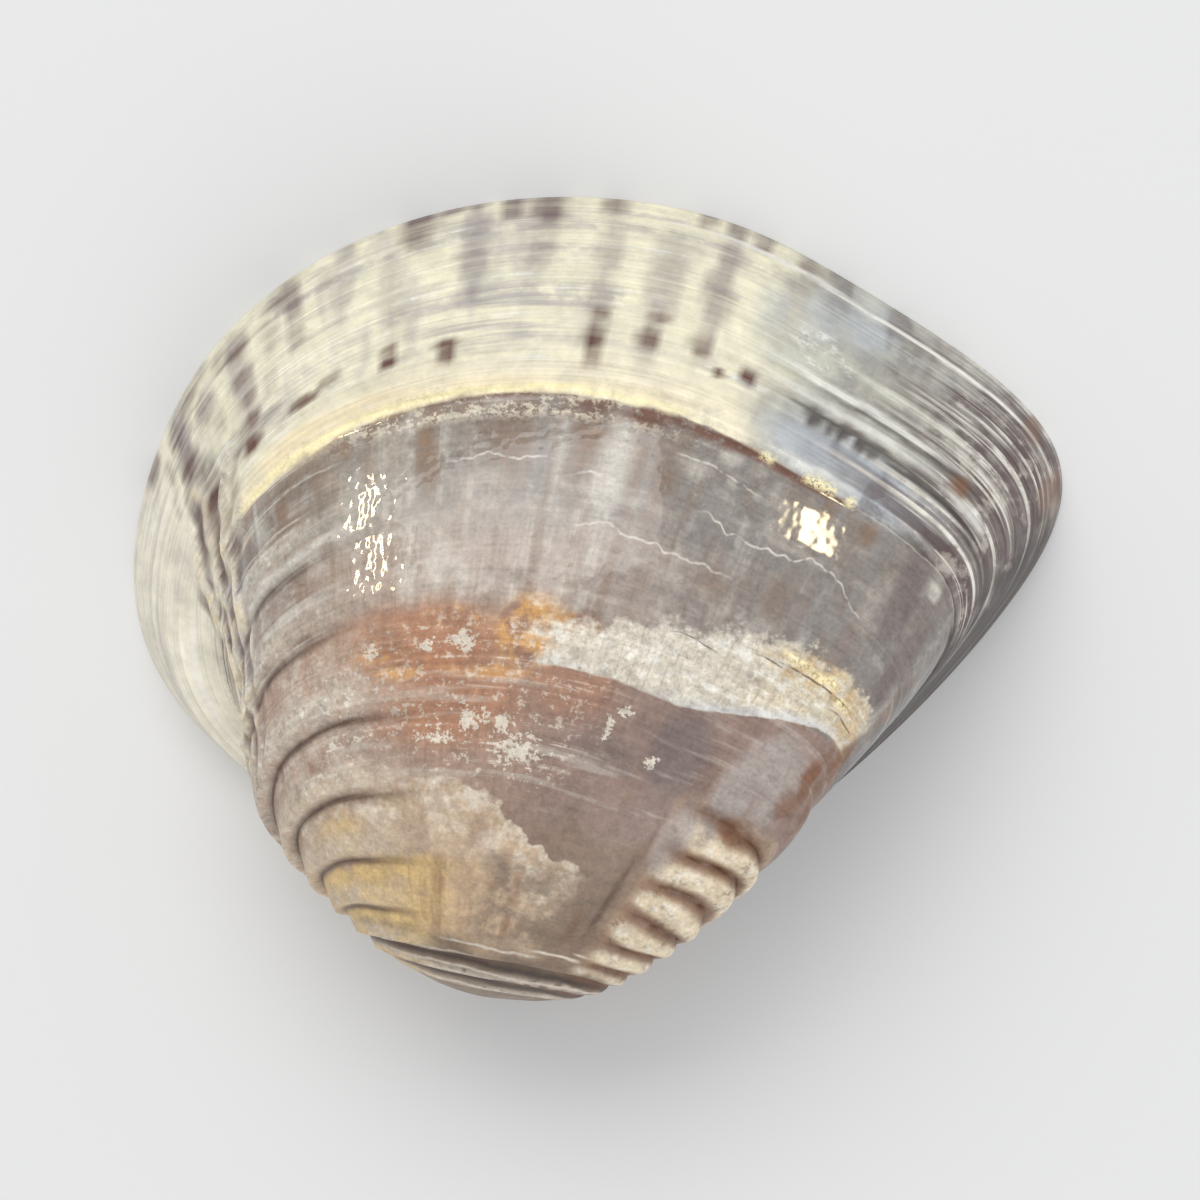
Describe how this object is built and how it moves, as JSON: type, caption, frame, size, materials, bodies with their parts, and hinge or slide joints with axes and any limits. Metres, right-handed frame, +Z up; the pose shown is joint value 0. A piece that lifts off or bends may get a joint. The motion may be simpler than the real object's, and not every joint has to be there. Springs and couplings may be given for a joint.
{
  "type": "venus clam shell",
  "caption": "One weathered valve of a venus clam, domed side up on its rim, with low ridges round the beak, a hollow inside and a toothed hinge plate.",
  "frame": {"origin": "centre of the bounding box, on the flat rim that the valve rests on", "axes": "+X towards the pointed hind end, +Y from the hinge towards the free margin, +Z up from the rim to the top of the dome"},
  "size_m": [0.044, 0.038, 0.0151],
  "materials": {
    "shell": "worn satin shell, glossy in bands and chalky round the beak"
  },
  "bodies": {
    "root": {"valve": "shell"}
  },
  "joints": []
}
